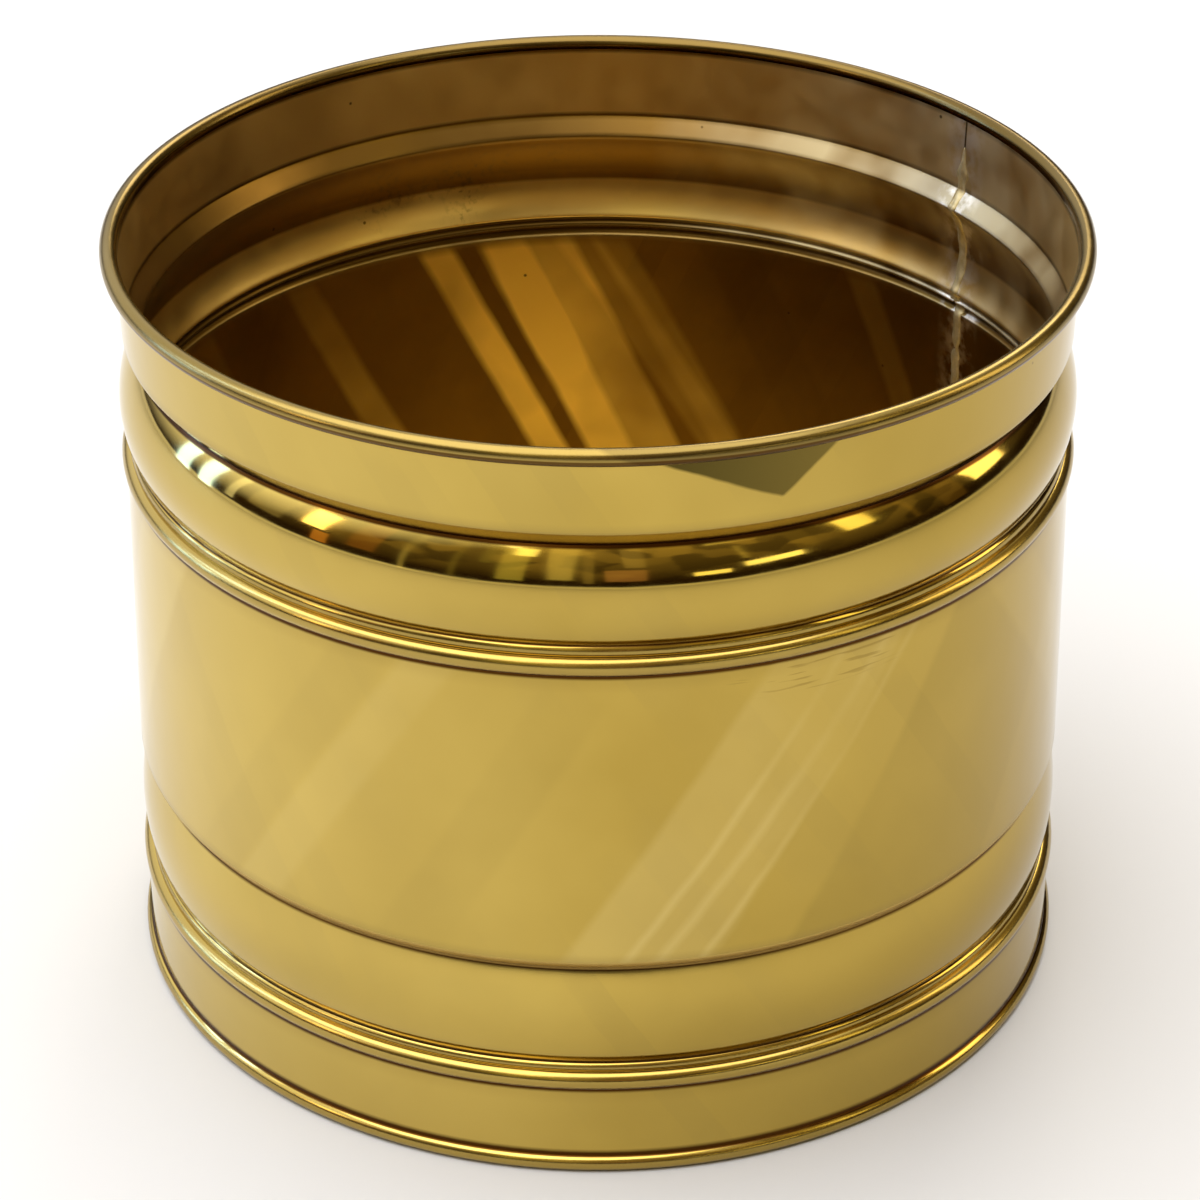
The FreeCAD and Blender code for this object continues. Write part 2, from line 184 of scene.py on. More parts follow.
# Where something lies round the whole pot: its lowest and highest level, and the distance over which
# it fades beyond them, in millimetres
Levels = namedtuple("Levels", "low high fade")
STREAKED_OUTSIDE = Levels(62, 143, 3)
STREAKED_INSIDE = Levels(30, 141, 4)
DULLED_INSIDE = Levels(148, 205, 3)
# The step is rougher and painted lighter
STEP_LEVELS = Levels(60.2, 63, 0.5)
# The rim's outside, top and underside levels carry painted shade
RIM_OUTSIDE = Levels(200.5, 205, 0.5)
RIM_TOP = Levels(202.6, 205, 0.4)
RIM_UNDERSIDE = Levels(200.3, 202, 0.3)

# Bands inside that differ from the sheet, with their strength and tone. The collar and the foot of
# the bulge are brighter, tarnish lies on the ledge, and painted shade lies under it and behind the
# upper bead.
INSIDE_TONE_AND_SHADE_BANDS = (
    (Levels(183, 200, 1), 0.88, "#F0D088"),
    (Levels(176.6, 180.8, 1), 0.95, "#6B5024"),
    # Painted shade under the ledge
    (Levels(165, 174, 1), 0.7, "#6A4C1C"),
    (Levels(151, 161, 1), 0.85, "#E0C074"),
    # Painted shade behind the upper bead
    (Levels(145, 150, 1), 0.85, "#3E2C10"),
)

# A dark olive patch on the collar, between the rim and two edges that meet at a point: that point
# round from the seam and its level, how the two edges lean from level, in degrees, and how far they
# fade, in millimetres
DarkWedge = namedtuple("DarkWedge", "around level leans edge")
RIM_DARK_WEDGE = DarkWedge(256, 188, (-21, 40), 0.8)

# Bright panes in the dim room that the bulge mirrors: azimuth and elevation in degrees, width and
# height in metres, how bright they are, where 1 is plain white, and their colour
PANES = (
    (-106, 8, 0.22, 0.8, 8.0, "#88B0FF"),
    (-106, 34, 0.22, 0.8, 8.0, "#88B0FF"),
    (-97, 10, 0.2, 0.9, 8.5, "#90B4FF"),
    (-97, 35, 0.2, 0.7, 8.0, "#90B4FF"),
    (-89, 21, 0.1, 1.6, 1.2, "#D8DCE0"),
    (-79, 24, 0.4, 1.4, 0.4, "#C8BFA4"),
    (-66, 22, 0.26, 0.7, 4.6, "#FFE6B4"),
    (-63, 7, 0.16, 0.4, 0.8, "#E8A050"),
    (-53, 22, 0.26, 1.2, 0.4, "#B87838"),
    (-43, 20, 0.05, 1.8, 0.5, "#E0D8A8"),
    (-32, 20, 0.06, 1.6, 0.3, "#B8B070"),
    (-25, 30, 0.1, 0.8, 0.3, "#A8A868"),
    (-19, 22, 0.26, 1.5, 0.7, "#D4D088"),
    (-17, 36, 0.2, 0.34, 2.2, "#FFFCC8"),
    (-8, 25, 0.24, 1.5, 0.75, "#E4DCA8"),
    (-2, 22, 0.1, 1.5, 0.4, "#C8B888"),
    (6, 13, 0.34, 0.5, 0.5, "#DCA884"),
    (8, 32, 0.16, 0.9, 0.4, "#C8B890"),
    (25, 10, 0.34, 0.16, 2.6, "#FFF4B8"),
    (39, 14, 0.55, 0.2, 3.0, "#FFF8C8"),
    (36, 40, 0.6, 0.12, 0.8, "#F0E8B0"),
    (33, 27, 0.05, 0.6, 0.6, "#D8CC90"),
    (48, 26, 0.2, 0.8, 0.3, "#908048"),
    (62, 33, 0.28, 1.0, 2.8, "#F8ECA8"),
    (75, 26, 0.05, 1.5, 0.4, "#B89858"),
    (86, 20, 0.3, 1.3, 0.3, "#A08048"),
    (99, 28, 0.5, 1.6, 4.4, "#FFF0C4"),
)

# The studio in metres: the floor, how far off the lights stand and the point that they face. The
# mirrored room has its brightness, and how finely it is broken up into blocks.
FLOOR_RADIUS = 4.0
FLOOR_SIDES = 96
LIGHT_DISTANCE = 2.4
LIGHT_AIM = (0, 0, 0.12)
ROOM_GLOW = 1.45
ROOM_BLOCKS = 7.0

# The camera stands where the photograph was taken from, about 30 degrees above the pot
CAMERA_SENSOR = 36
CAMERA_LENS = 113.28
CAMERA_PLACE = (0.0005, -0.8685, 0.6024)
CAMERA_TILT = 59.625

# A layer of colour: the amount that it goes by, its colour in sRGB hex, its strength where it is whole,
# the amount at which it is whole, and the amount at which there is none of it
Layer = namedtuple("Layer", "amount colour strength whole_at none_at", defaults=(1.0, 1.0, 0.0))


def linear(code):
    """A colour given as sRGB hex, in the linear values that shaders take."""
    channels = [int(code[place:place + 2], 16) / 255 for place in (1, 3, 5)]
    return [c / 12.92 if c <= 0.04045 else ((c + 0.055) / 1.055) ** 2.4 for c in channels] + [1.0]


def curl(centre, radius, first, last, count=CURL_POINTS):
    """Points round a curl from one angle to another, in degrees."""
    angles = np.radians(np.linspace(first, last, count))
    return [(centre[0] + radius * math.cos(a), centre[1] + radius * math.sin(a)) for a in angles]


def arc_through(start, crown, end):
    """Points of the arc from start to end that passes through its crown."""
    (ax, ay), (bx, by), (cx, cy) = start, crown, end
    twice = 2 * (ax * (by - cy) + bx * (cy - ay) + cx * (ay - by))
    a2, b2, c2 = ax * ax + ay * ay, bx * bx + by * by, cx * cx + cy * cy
    centre_x = (a2 * (by - cy) + b2 * (cy - ay) + c2 * (ay - by)) / twice
    centre_y = (a2 * (cx - bx) + b2 * (ax - cx) + c2 * (bx - ax)) / twice
    first = math.atan2(ay - centre_y, ax - centre_x)
    last = math.atan2(cy - centre_y, cx - centre_x)
    radius = math.hypot(ax - centre_x, ay - centre_y)
    centre = (centre_x, centre_y)
    return curl(centre, radius, math.degrees(first), math.degrees(last), SWELL_POINTS)


def band_line(start, band):
    """The points of one band, from the end of the band above it."""
    radius, level = start
    end = (EDGE_RADIUS - band.set_in - SHEET / 2, level - band.height)
    if band.crown_set_in is None:
        return [end]
    crown = (EDGE_RADIUS - band.crown_set_in - SHEET / 2, level - band.crown_share * band.height)
    return arc_through(start, crown, end)[1:]


def sheet_line():
    """The middle of the sheet, from the end of the rim's curl down to the end of the foot's."""
    rim_centre = (EDGE_RADIUS - RIM_BEAD, OVERALL_HEIGHT - RIM_BEAD)
    foot_centre = (EDGE_RADIUS - FOOT_BEAD, FOOT_BEAD - FOOT_WORN_FLAT)
    line = curl(rim_centre, RIM_BEAD - SHEET / 2, 180 - RIM_CURL_TURN, 180)
    below_rim = Band(COLLAR.height - RIM_BEAD, COLLAR.set_in)
    upper = (below_rim, LEDGE, BULGE, UPPER_RIB, UPPER_BEAD)
    lower = (STEP, MOULDING, MOULDING_TOE, LOWER_RIB, LOWER_BEAD, FOOT_BAND)
    for band in upper:
        line += band_line(line[-1], band)
    wall_foot = FOOT_SHOULDER + sum(band.height for band in lower)
    line.append((EDGE_RADIUS - WALL_FOOT_SET_IN - SHEET / 2, wall_foot))
    for band in lower:
        line += band_line(line[-1], band)
    foot_end = FOOT_CURL_START - FOOT_CURL_TURN
    return line + curl(foot_centre, FOOT_BEAD - SHEET / 2, FOOT_CURL_START, foot_end)


def evenly(points):
    """The line with its points at even steps."""
    line = np.array(points)
    along = np.concatenate([[0], np.cumsum(np.hypot(*np.diff(line, axis=0).T))])
    even = np.linspace(0, along[-1], int(along[-1] / LINE_STEP))
    return np.column_stack([np.interp(even, along, line[:, axis]) for axis in (0, 1)])


def softened(line, reach):
    """The line with its corners rounded over a reach, as pressing leaves them."""
    half = int(reach / LINE_STEP)
    weights = np.hanning(2 * half + 3)[1:-1]
    padded = np.pad(line, ((half, half), (0, 0)), mode="reflect", reflect_type="odd")
    columns = [np.convolve(padded[:, axis], weights / weights.sum(), "valid") for axis in (0, 1)]
    return np.column_stack(columns)


def leftward(line):
    """At each point of a line, the direction to the left of its travel."""
    ahead = np.gradient(line, axis=0)
    ahead /= np.hypot(*ahead.T)[:, None]
    return np.column_stack([-ahead[:, 1], ahead[:, 0]])


def relief_of(line):
    """How proud each point of a line stands of its neighbourhood, to its left, in millimetres."""
    return ((line - softened(line, RELIEF_REACH)) * leftward(line)).sum(axis=1)


def kept_points(line):
    """The numbers of the points where a line has turned or run on enough since the last."""
    headings = np.unwrap(np.arctan2(*np.gradient(line, axis=0).T[::-1]))
    kept = [0]
    for number in range(1, len(line) - 1):
        turn = abs(headings[number] - headings[kept[-1]])
        run = math.dist(line[number], line[kept[-1]])
        if turn > KEEP_TURN or run > KEEP_LENGTH or (turn > SLIGHT_TURN and run > SHORT_RUN):
            kept.append(number)
    return kept + [len(line) - 1]


def shifted(line, distance):
    """The line moved sideways, to the left of its travel."""
    return line + distance * leftward(line)


def turned_piece(loop, heights, first=0.0, angle=360.0, steps=TURN_STEPS):
    """A section in millimetres, turned about the pot's axis from one angle in degrees.

    Its points carry their heights of relief. A section that starts on the axis isn't closed along it.
    """
    bm = bmesh.new()
    layer = bm.verts.layers.float.new("relief")
    towards = Vector((math.cos(math.radians(first)), math.sin(math.radians(first)), 0))
    verts = []
    for (radius, level), height in zip(loop, heights):
        verts.append(bm.verts.new(towards * radius * MM + Vector((0, 0, level * MM))))
        verts[-1][layer] = height
    around = verts[1:] + verts[:1] if loop[0][0] > 0 else verts[1:]
    edges = [bm.edges.new(pair) for pair in zip(verts, around)]
    whole = angle == 360.0
    geometry = verts + edges
    if not whole:
        bmesh.ops.contextual_create(bm, geom=geometry)
        geometry = verts + edges + bm.faces[:]
    bmesh.ops.spin(
        bm,
        geom=geometry,
        cent=(0, 0, 0),
        axis=(0, 0, 1),
        angle=math.radians(angle),
        steps=steps,
        use_merge=whole,
    )
    bmesh.ops.remove_doubles(bm, verts=bm.verts[:], dist=0.001 * MM)
    bmesh.ops.recalc_face_normals(bm, faces=bm.faces)
    return bm


def unroll(bm):
    """Gives the sheet its flat coordinates in metres: along from the seam, and up."""
    layer = bm.loops.layers.uv.new("sheet")
    seam = math.radians(SEAM_ANGLE)
    for face in bm.faces:
        middle = face.calc_center_median()
        centre = (math.atan2(middle.y, middle.x) - seam) % math.tau
        for loop in face.loops:
            place = loop.vert.co
            angle = math.atan2(place.y, place.x) - seam
            angle += math.tau * round((centre - angle) / math.tau)
            loop[layer].uv = (angle * EDGE_RADIUS * MM, place.z)


def finish_piece(name, bm, materials, node):
    """Makes the piece an object that stands for a node of the frame."""
    for face in bm.faces:
        face.smooth = True
    mesh = bpy.data.meshes.new(name)
    bm.to_mesh(mesh)
    bm.free()
    piece = bpy.data.objects.new(name, mesh)
    bpy.context.collection.objects.link(piece)
    for material in materials:
        mesh.materials.append(material)
    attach(piece, "root")
    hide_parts(node)


def feed(tree, node, sockets):
    """Gives a node's sockets a value, another node's output, or a node for its first output in use."""
    for socket, value in sockets.items():
        if isinstance(value, bpy.types.Node):
            value = next(output for output in value.outputs if output.enabled)
        if isinstance(value, bpy.types.NodeSocket):
            tree.links.new(value, node.inputs[socket])
        else:
            node.inputs[socket].default_value = value


def put(tree, kind, sockets=(), **settings):
    """Adds a node with its settings and feeds its sockets."""
    node = tree.nodes.new("ShaderNode" + kind)
    for name, value in settings.items():
        setattr(node, name, value)
    feed(tree, node, dict(sockets))
    return node


def new_material(name):
    """An empty material, with its node tree and its shader."""
    material = bpy.data.materials.new(name)
    material.use_nodes = True
    return material, material.node_tree, material.node_tree.nodes["Principled BSDF"]


def clouds(tree, place, size, low, high, detail=4.0):
    """Soft patches of a size in millimetres, from 0 under one level of the noise to 1 over another."""
    soft = put(tree, "TexNoise", {"Vector": place, "Scale": 1 / (size * MM), "Detail": detail})
    return put(tree, "MapRange", {"Value": soft, "From Min": low, "From Max": high})


def fine_streaks(tree, sheet, lean, width):
    """A tone for each slanting polishing streak. They lean from upright and differ in width."""
    angle = math.radians(lean)
    pull = (math.cos(angle) / (width * MM), -math.sin(angle) / (width * MM), 0)
    across = put(tree, "VectorMath", {0: sheet, 1: pull}, operation="DOT_PRODUCT")
    cells = put(tree, "TexVoronoi", {"W": across, "Scale": 1.0}, voronoi_dimensions="1D")
    return put(tree, "SeparateColor", {0: cells.outputs["Color"]})


def overlap(tree, first, *others):
    """How much each place has of some patterns all at once."""
    for other in others:
        first = put(tree, "Math", {0: first, 1: other}, operation="MULTIPLY")
    return first


def sum_of_ranges(tree, *ranges):
    """A value that is the sum of some amounts, each mapped to its own range."""
    total = 0.0
    for sockets in ranges:
        part = put(tree, "MapRange", sockets)
        total = put(tree, "Math", {0: total, 1: part}, operation="ADD")
    return total


def layered(tree, base, layers):
    """A base colour with layers of others over it, from the first to the last."""
    tone = linear(base)
    for layer in layers:
        limits = {"From Min": layer.none_at, "From Max": layer.whole_at, "To Max": layer.strength}
        share = put(tree, "MapRange", {"Value": layer.amount, **limits})
        # A colour mix takes its factor at socket 0 and its two colours at 6 and 7
        tone = put(tree, "Mix", {0: share, 6: tone, 7: linear(layer.colour)}, data_type="RGBA")
    return tone


def sheet_place(tree, waver):
    """The flat coordinates of the sheet, wavering by some millimetres."""
    flat = put(tree, "TexCoord").outputs["UV"]
    drift = put(tree, "TexNoise", {"Vector": flat, "Scale": 1 / (22 * MM), "Detail": 3.0})
    spread = (waver * MM, waver * MM, 0)
    sockets = {0: drift.outputs["Color"], 1: spread, 2: flat}
    return put(tree, "VectorMath", sockets, operation="MULTIPLY_ADD")


def placed_streaks(tree, sheet, chosen):
    """How much brighter or darker each place is for the streaks that cross it."""
    total = 0.0
    for streak in chosen:
        lean = math.radians(streak.lean)
        across = (math.cos(lean), -math.sin(lean), 0)
        seat = math.radians(streak.around) * EDGE_RADIUS * across[0] + streak.level * across[1]
        along = put(tree, "VectorMath", {0: sheet, 1: across}, operation="DOT_PRODUCT")
        offset = put(tree, "Math", {0: along, 1: seat * MM}, operation="SUBTRACT")
        distance = put(tree, "Math", {0: offset}, operation="ABSOLUTE")
        half = streak.width / 2
        edge = min(half, STREAK_EDGE)
        limits = {"From Min": (half + edge) * MM, "From Max": (half - edge) * MM}
        inside = put(tree, "MapRange", {"Value": distance, **limits})
        sockets = {0: inside, 1: streak.strength, 2: total}
        total = put(tree, "Math", sockets, operation="MULTIPLY_ADD")
    return total


def from_point(tree, sheet, spot):
    """Where each place lies from a point of the sheet, in metres."""
    seat = (math.radians(spot.around) * EDGE_RADIUS * MM, spot.level * MM, 0)
    return put(tree, "VectorMath", {0: sheet, 1: seat}, operation="SUBTRACT")


def patch(tree, sheet, spot):
    """1 in an oval patch of the sheet, fading to 0 at its edge."""
    shape = (2 / (spot.width * MM), 2 / (spot.height * MM), 0)
    sockets = {0: from_point(tree, sheet, spot), 1: shape}
    oval = put(tree, "VectorMath", sockets, operation="MULTIPLY")
    reach = put(tree, "VectorMath", {0: oval}, operation="LENGTH")
    return put(tree, "MapRange", {"Value": reach, "From Min": 1.0, "From Max": 1.0 - spot.fade})


def wedge(tree, sheet, dark_wedge):
    """1 in the part of the sheet over two edges that meet at a point, 0 below either."""
    offset = from_point(tree, sheet, dark_wedge)
    over = []
    for lean in map(math.radians, dark_wedge.leans):
        upward = (-math.sin(lean), math.cos(lean), 0)
        height = put(tree, "VectorMath", {0: offset, 1: upward}, operation="DOT_PRODUCT")
        over.append(put(tree, "MapRange", {"Value": height, "From Max": dark_wedge.edge * MM}))
    return overlap(tree, *over)


def scratches(tree, sheet, spot):
    """Fine level scratches in an oval patch of the sheet, 16 mm long and 1.1 mm apart."""
    pull = (1 / (16 * MM), 1 / (1.1 * MM), 0)
    drawn = put(tree, "VectorMath", {0: sheet, 1: pull}, operation="MULTIPLY")
    lines = put(tree, "TexNoise", {"Vector": drawn, "Scale": 1.0, "Detail": 1.0})
    cut = put(tree, "MapRange", {"Value": lines, "From Min": 0.6, "From Max": 0.66})
    return overlap(tree, patch(tree, sheet, spot), cut)


def pits(tree, place, apart, size):
    """Small sparse pits, from 0 to 1, so many millimetres apart and so big."""
    cells = put(tree, "TexVoronoi", {"Vector": place, "Scale": 1 / (apart * MM)})
    limits = {"From Min": size / apart, "From Max": 0.6 * size / apart}
    return put(tree, "MapRange", {"Value": cells, **limits})


def level_band(tree, place, levels):
    """1 between two levels, fading to 0 beyond them."""
    level = put(tree, "SeparateXYZ", {0: place}).outputs["Z"]
    low, high, fade = levels
    limits = (((low - fade) * MM, low * MM), ((high + fade) * MM, high * MM))
    sides = [
        put(tree, "MapRange", {"Value": level, "From Min": none_at, "From Max": whole_at})
        for none_at, whole_at in limits
    ]
    return overlap(tree, *sides)


def by_seam(tree, sheet, far, near):
    """0 from a distance in millimetres to the seam, along the sheet, and 1 within a nearer one."""
    along = put(tree, "SeparateXYZ", {0: sheet})
    half_way = math.pi * EDGE_RADIUS * MM
    distance = put(tree, "Math", {0: along, 1: half_way}, operation="PINGPONG")
    return put(tree, "MapRange", {"Value": distance, "From Min": far * MM, "From Max": near * MM})


def dress_metal(tree, shader, tone, roughness, height, strength, depth):
    """Gives a metal's shader its tone, its roughness and its waves, so many millimetres deep."""
    sockets = {"Height": height, "Strength": strength, "Distance": depth * MM}
    waves = put(tree, "Bump", sockets)
    looks = {"Metallic": 1.0, "Base Color": tone, "Roughness": roughness, "Normal": waves}
    feed(tree, shader, looks)


def polished_brass():
    """Lacquer-free polished sheet brass: a mirror with faint waves, a dark wedge and slanting streaks.

    Its creases carry painted shade, and its rim and beads are worn to a softer shine and toned down
    with painted shade.
    """
    material, tree, shader = new_material("polished_sheet_brass")
    place = put(tree, "TexCoord").outputs["Object"]
    sheet = sheet_place(tree, 2.0)
    axes = put(tree, "SeparateXYZ", {0: place}).outputs
    proud = put(tree, "Attribute", attribute_name="relief").outputs["Fac"]
    bent = put(tree, "Math", {0: proud}, operation="ABSOLUTE")
    backward = put(tree, "MapRange", {"Value": axes["Y"], "From Min": -30 * MM, "From Max": 80 * MM})
    fine = overlap(tree, fine_streaks(tree, sheet, -34, 9), clouds(tree, place, 50, 0.45, 0.6))
    broad = overlap(
        tree,
        placed_streaks(tree, sheet, OUTSIDE_STREAKS),
        level_band(tree, place, STREAKED_OUTSIDE),
        clouds(tree, place, 60, 0.25, 0.5),
    )
    worn = scratches(tree, sheet, SCRATCHED)
    behind = overlap(tree, backward, level_band(tree, place, RIM_OUTSIDE))
    stepped = level_band(tree, place, STEP_LEVELS)
    layers = (
        # Clouds, fine and broad polishing streaks, and the dark olive wedge under the rim
        Layer(clouds(tree, place, 80, 0.38, 0.66), "#B49845"),
        Layer(fine, "#A8904A", 0.4),
        Layer(broad, "#E6CF86"),
        Layer(broad, "#7E6A30", whole_at=-1.0),
        Layer(wedge(tree, sheet, RIM_DARK_WEDGE), "#26230A", 0.96),
        # Painted shade on the pot's right, and painted light on its left
        Layer(axes["X"], "#A58C44", 0.8, whole_at=110 * MM),
        Layer(axes["X"], "#CDB66C", 0.5, whole_at=-110 * MM),
        # Scratches; painted shade on the proud rim and beads, against the mirrored overhead light;
        # painted shade in the creases
        Layer(worn, "#8A7034", 0.5),
        Layer(proud, "#967F46", whole_at=0.32),
        Layer(proud, "#4A2C0A", whole_at=-0.1),
        # Painted shade on the rim: at the back, on top against the mirrored overhead light, and
        # underneath
        Layer(behind, "#4A3418", 0.9),
        Layer(level_band(tree, place, RIM_TOP), "#6E5C32", 0.6),
        Layer(level_band(tree, place, RIM_UNDERSIDE), "#4A2C0A", 0.85),
        # Pits, the seam's gap, and the step, rougher and painted lighter
        Layer(pits(tree, place, 34, 0.5), "#4A3410", 0.8),
        Layer(by_seam(tree, sheet_place(tree, 0.2), 0.45, 0.2), "#6A5424", 0.7),
        Layer(stepped, "#C4A45C", 0.7),
    )
    tone = layered(tree, "#C4A852", layers)
    roughness = sum_of_ranges(
        tree,
        {"Value": clouds(tree, place, 9, 0.3, 0.75, 5.0), "To Min": 0.05, "To Max": 0.11},
        {"Value": bent, "From Min": 0.03, "From Max": 0.3, "To Max": 0.26},
        {"Value": stepped, "To Max": 0.35},
    )
    waves = put(tree, "TexNoise", {"Vector": place, "Scale": 1 / (26 * MM), "Detail": 2.0})
    cut = put(tree, "MapRange", {"Value": worn, "To Max": -0.075})
    height = put(tree, "Math", {0: waves, 1: cut}, operation="ADD")
    dress_metal(tree, shader, tone, roughness, height, strength=0.2, depth=0.6)
    return material


def tarnished_brass():
    """The less polished inside of the sheet: satin brown, with bright polished streaks and specks.

    The heat of the brazing left it greyer and duller beside the seam. Painted shade lies under the
    ledge and behind the upper bead, and a painted highlight on the streaks at the back.
    """
    material, tree, shader = new_material("satin_inside_brass")
    place = put(tree, "TexCoord").outputs["Object"]
    sheet = sheet_place(tree, 1.2)
    proud = put(tree, "Attribute", attribute_name="relief").outputs["Fac"]
    fine = overlap(tree, fine_streaks(tree, sheet, -26, 8), clouds(tree, place, 40, 0.4, 0.55))
    # The streaks fade at random, and carry a painted highlight on the back wall
    streak_fading_and_highlight = sum_of_ranges(
        tree,
        {"Value": clouds(tree, place, 30, 0.36, 0.6, 2.0), "To Min": 0.5, "To Max": 0.9},
        {"Value": patch(tree, sheet, PAINTED_STREAK_HIGHLIGHT), "To Max": 0.8},
    )
    broad = overlap(
        tree,
        placed_streaks(tree, sheet, INSIDE_STREAKS),
        level_band(tree, place, STREAKED_INSIDE),
        streak_fading_and_highlight,
    )
    dulled = overlap(
        tree,
        by_seam(tree, sheet, 105, 35),
        clouds(tree, place, 24, 0.3, 0.6, 2.0),
        level_band(tree, place, DULLED_INSIDE),
    )
    specks = overlap(
        tree,
        clouds(tree, place, 1.6, 0.5, 0.66, 3.0),
        clouds(tree, place, 22, 0.5, 0.62),
        patch(tree, sheet, SPECKLED),
    )
    smeared = overlap(tree, by_seam(tree, sheet, 9, 2), clouds(tree, place, 5, 0.42, 0.6))
    bands = [
        Layer(level_band(tree, place, levels), colour, strength)
        for levels, strength, colour in INSIDE_TONE_AND_SHADE_BANDS
    ]
    layers = (
        # Clouds, fine and broad polishing streaks, and the wear of what stands proud
        Layer(clouds(tree, place, 45, 0.36, 0.66), "#6E5018"),
        Layer(fine, "#5E4414", 0.4),
        Layer(broad, "#FFDC70"),
        Layer(broad, "#4C3410", whole_at=-1.0),
        Layer(proud, "#DCC88C", whole_at=0.8),
        Layer(proud, "#4E3C1C", whole_at=-0.6),
        # Bands of tone and tarnish, and of painted shade
        *bands,
        # Metal dulled by the heat, specks, pits, and flux and filings beside the seam
        Layer(dulled, "#D2C49A", 0.6),
        Layer(specks, "#4E4428", 0.6),
        Layer(pits(tree, place, 17, 0.6), "#3A2A10", 0.8),
        Layer(smeared, "#F4EAD0", 0.8),
        Layer(by_seam(tree, sheet_place(tree, 0.2), 0.5, 0.2), "#5A4A28"),
    )
    tone = layered(tree, "#7E5E20", layers)
    roughness = sum_of_ranges(
        tree,
        {"Value": clouds(tree, place, 12, 0.3, 0.7, 5.0), "To Min": 0.29, "To Max": 0.37},
        {"Value": dulled, "To Max": 0.1},
    )
    waves = put(tree, "TexNoise", {"Vector": place, "Scale": 1 / (16 * MM), "Detail": 1.5})
    dress_metal(tree, shader, tone, roughness, waves, strength=0.12, depth=0.4)
    return material


def dull_metal(name, light, dark, roughness, grain):
    """A plain worked metal: two tones in cloudy grain of a size in millimetres, slightly uneven."""
    material, tree, shader = new_material(name)
    place = put(tree, "TexCoord").outputs["Object"]
    grainy = put(tree, "TexNoise", {"Vector": place, "Scale": 1 / (grain * MM), "Detail": 6.0})
    tone = layered(tree, light, [Layer(grainy, dark)])
    dress_metal(tree, shader, tone, roughness, grainy, strength=0.3, depth=0.1)
    return material


def make_shell(line, outside, inside):
    """The rolled sheet, polished outside and over the rim, tarnished inside."""
    kept = kept_points(line)
    proud = relief_of(line)[kept]
    loop = np.concatenate([shifted(line, SHEET / 2)[kept], shifted(line, -SHEET / 2)[kept][::-1]])
    loop[:, 1] = np.maximum(loop[:, 1], 0)
    bm = turned_piece(loop.tolist(), np.concatenate([proud, -proud[::-1]]), SEAM_ANGLE)
    unroll(bm)
    rim_foot = (OVERALL_HEIGHT - 2 * RIM_BEAD) * MM
    foot_top = 2 * FOOT_BEAD * MM
    for face in bm.faces:
        centre = face.calc_center_median()
        faces_axis = face.normal.dot(Vector((centre.x, centre.y, 0))) < 0
        face.material_index = int(faces_axis and foot_top < centre.z < rim_foot)
    finish_piece("brass_shell", bm, [outside, inside], "body_shell")


def uneven(kind, along, across=0.0):
    """An amount that rises and falls along a strip, in millimetres, and across it."""
    return kind.middle + kind.spread * noise.noise((along / kind.length, across, kind.row))


def make_brazing(line, material):
    """The brazing over the seam inside: a strip of uneven width that stands a little proud."""
    low, high = BRAZE_SPAN
    stretch = line[(line[:, 1] > low) & (line[:, 1] < high)]
    face = shifted(stretch, -SHEET / 2)[::BRAZE_STRIDE]
    back = shifted(stretch, -SHEET / 2 + BRAZE_SUNK)[::BRAZE_STRIDE]
    loop = np.concatenate([back, face[::-1]])
    half_turn = math.degrees(BRAZE_WIDTH / 2 / EDGE_RADIUS)
    fronts = np.concatenate([np.zeros(len(back)), np.ones(len(face))])
    first = SEAM_ANGLE - half_turn
    bm = turned_piece(loop.tolist(), fronts, first, 2 * half_turn, BRAZE_TURN_STEPS)
    layer = bm.verts.layers.float["relief"]
    for vert in bm.verts:
        level = vert.co.z / MM
        turn = math.degrees(math.atan2(vert.co.y, vert.co.x)) - SEAM_ANGLE
        share = turn / half_turn
        taper = min(1, (high - level) / BRAZE_TAPER, (level - low) / BRAZE_TAPER)
        wide = uneven(BRAZE_EDGES, level) * taper
        lump = max(uneven(BRAZE_LUMPS, level, 2 * share), 0)
        radius = math.hypot(vert.co.x, vert.co.y) / MM
        radius -= vert[layer] * (1 - share * share) * BRAZE_PROUD * 2 * lump * taper
        angle = math.radians(SEAM_ANGLE + turn * wide)
        vert.co = (radius * math.cos(angle) * MM, radius * math.sin(angle) * MM, vert.co.z)
    finish_piece("seam_brazing", bm, [material], "seam_braze")


def make_bottom(material):
    """The bottom, spun from one disc: its middle raised and its edge bent up into a flange."""
    side = BOTTOM_RADIUS - SHEET / 2
    corners = (
        (0, BOTTOM_LEVEL + BOTTOM_RISE),
        (BOTTOM_RISE_RADIUS, BOTTOM_LEVEL + BOTTOM_RISE),
        (BOTTOM_RISE_RADIUS + BOTTOM_SLOPE, BOTTOM_LEVEL),
        (side, BOTTOM_LEVEL),
        (side, BOTTOM_LEVEL + BOTTOM_FLANGE),
    )
    under = softened(evenly(corners), BOTTOM_BEND)
    kept = kept_points(under)
    lower = under[kept]
    upper = shifted(under, SHEET)[kept][::-1]
    lower[0][0] = upper[-1][0] = 0
    loop = np.concatenate([lower, upper])
    bm = turned_piece(loop.tolist(), np.zeros(len(loop)))
    finish_piece("spun_bottom", bm, [material], "base_disc")


